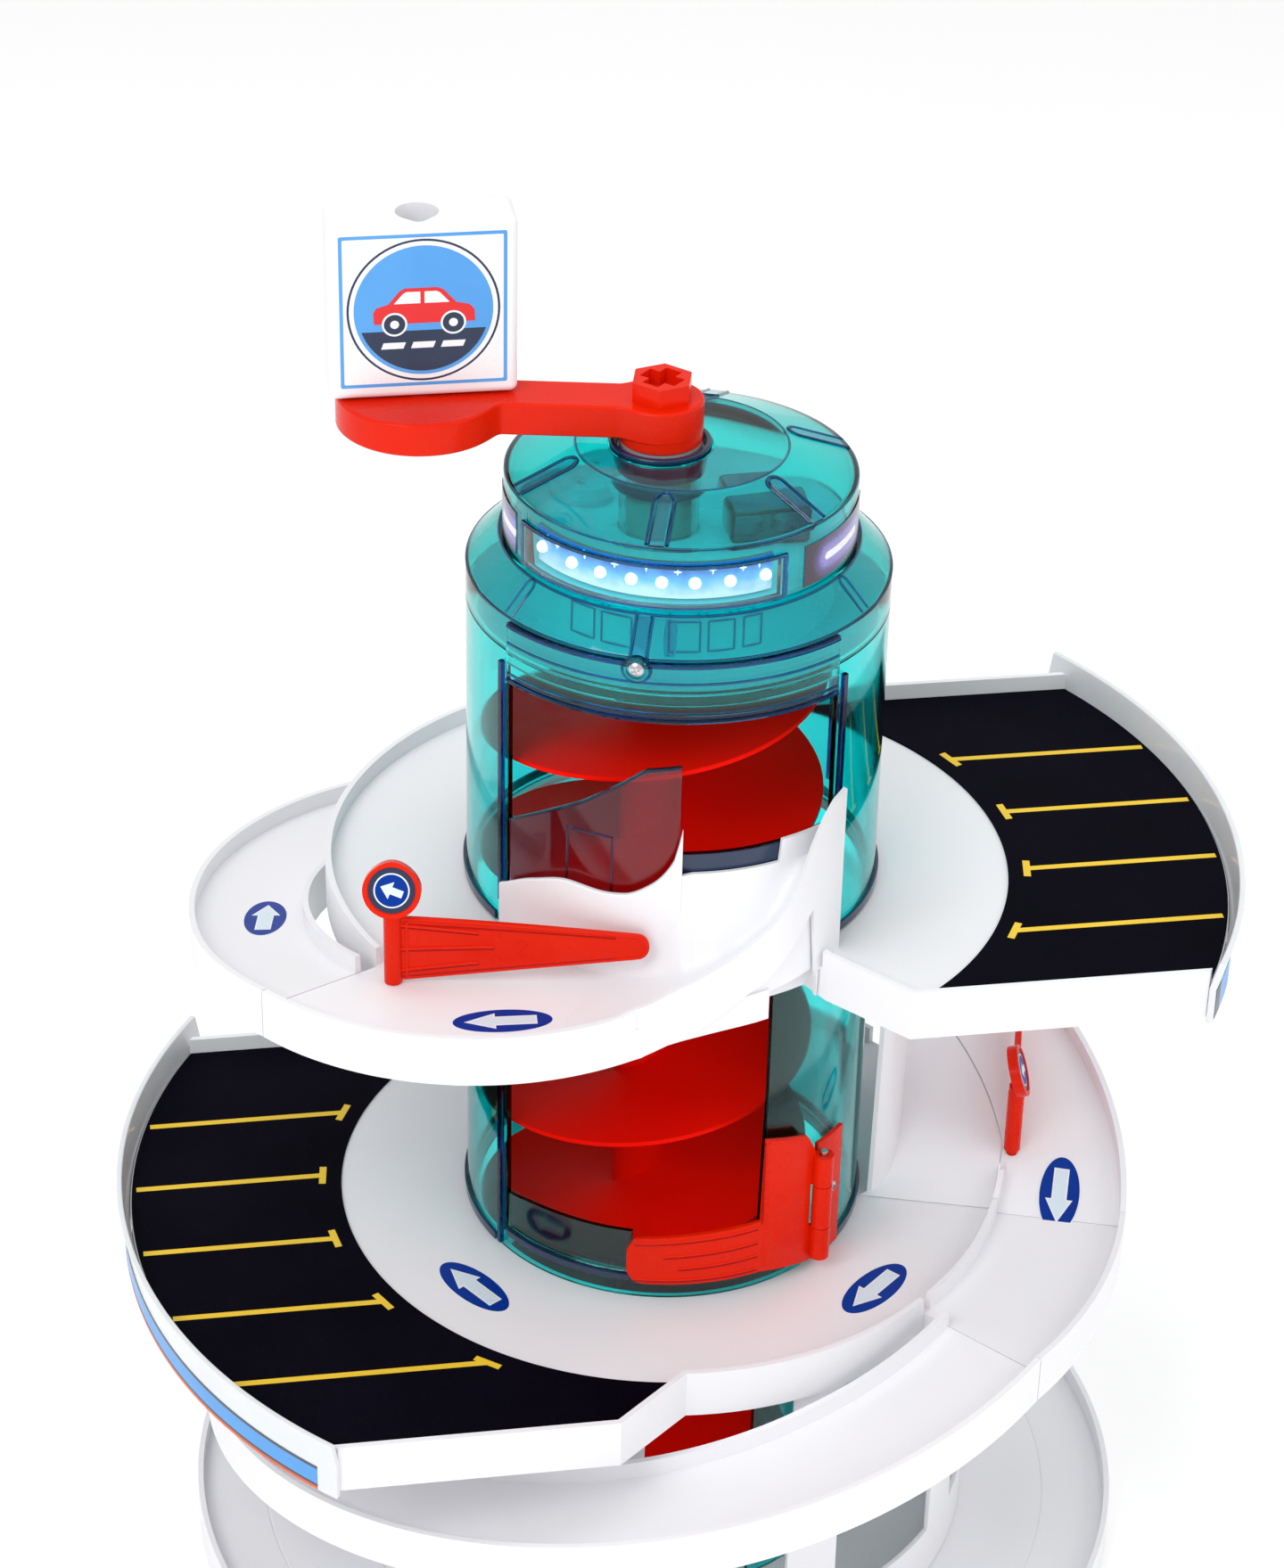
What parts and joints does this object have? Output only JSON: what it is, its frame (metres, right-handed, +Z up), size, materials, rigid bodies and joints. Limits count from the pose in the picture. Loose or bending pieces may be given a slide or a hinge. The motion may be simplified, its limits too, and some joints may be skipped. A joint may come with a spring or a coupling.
{
  "type": "toy parking garage",
  "caption": "Toy parking garage with a clear tower, a hand-cranked spiral car lift, two parking decks with ramps, swinging gates and a lamp cap with a sign-shaped handle.",
  "frame": {"origin": "on the tower's axis, at the underside of the base tray", "axes": "+Z up, +X towards the upper deck's parking bays, +Y to the back"},
  "size_m": [0.4745, 0.417, 0.6297],
  "materials": {
    "white_plastic": "glossy moulded white plastic",
    "red_plastic": "glossy moulded red plastic",
    "teal_clear": "clear teal plastic",
    "navy_plastic": "glossy dark blue plastic",
    "asphalt_sheet": "printed dark sheet with yellow bay lines",
    "rail_plastic": "milky white plastic",
    "lens_clear": "clear plastic",
    "lamp_white": "milky white lamps",
    "board_tan": "bare circuit board",
    "grey_plastic": "matte grey plastic",
    "black_plastic": "matte black plastic",
    "steel": "plated steel"
  },
  "bodies": {
    "garage": {"base_tray": "white_plastic", "pivot_post": "grey_plastic", "support_skirt_1": "white_plastic", "support_skirt_2": "white_plastic", "support_skirt_3": "white_plastic", "support_skirt_4": "white_plastic", "support_skirt_5": "white_plastic", "deck_1": "white_plastic", "deck_2": "white_plastic", "upper_ramp": "white_plastic", "lower_ramp": "white_plastic", "lane_apron": "white_plastic", "parking_mat_1": "asphalt_sheet", "parking_mat_2": "asphalt_sheet", "guard_rail_1": "rail_plastic", "guard_rail_2": "rail_plastic", "tube_lower": "teal_clear", "tube_middle": "teal_clear", "tube_upper": "teal_clear", "guard_upper": "teal_clear", "guard_middle": "teal_clear", "slide_shield": "white_plastic", "exit_slide": "white_plastic", "cap_shoulder": "teal_clear", "visor": "teal_clear", "visor_screw": "steel", "lamp_housing": "teal_clear", "bearing_plate": "teal_clear", "collar_bush": "navy_plastic", "lens_strip": "lens_clear", "led_board": "board_tan", "led_strip": "lamp_white", "electronics_tray": "grey_plastic", "electronics_lid": "grey_plastic", "button_cell_1": "steel", "button_cell_2": "steel", "speaker": "black_plastic", "exit_gate_bracket": "red_plastic", "exit_gate_pin": "steel", "bracket_screw": "steel"},
    "crank": {"spiral_lift_1": "red_plastic", "spiral_lift_2": "red_plastic", "spiral_lift_3": "red_plastic", "spiral_lift_4": "red_plastic", "crank_shaft": "red_plastic", "crank_arm": "red_plastic", "grip_pin": "white_plastic"},
    "grip": {"sign_grip": "white_plastic"},
    "gate_1": {"lane_gate_1": "red_plastic"},
    "gate_2": {"lane_gate_2": "red_plastic"},
    "exit": {"exit_gate": "red_plastic"}
  },
  "joints": [
    {"name": "crank_turn", "type": "hinge", "parent": "garage", "child": "crank", "pos_m": [-0.0086, 0, 0], "axis": [0, 0, 1], "continuous": true},
    {"name": "grip_turn", "type": "hinge", "parent": "crank", "child": "grip", "pos_m": [-0.1015, 0.0175, 0.58], "axis": [0, 0, 1], "continuous": true},
    {"name": "gate_1_swing", "type": "hinge", "parent": "garage", "child": "gate_1", "pos_m": [0.1535, -0.0145, 0.2], "axis": [0, 0, 1], "range_deg": [0, 27]},
    {"name": "gate_2_swing", "type": "hinge", "parent": "garage", "child": "gate_2", "pos_m": [-0.1237, -0.0744, 0.355], "axis": [0, 0, 1], "range_deg": [-22, 0]},
    {"name": "exit_gate_swing", "type": "hinge", "parent": "garage", "child": "exit", "pos_m": [0.05537, -0.07347, 0.21], "axis": [0, 0, 1], "range_deg": [0, 80]}
  ]
}
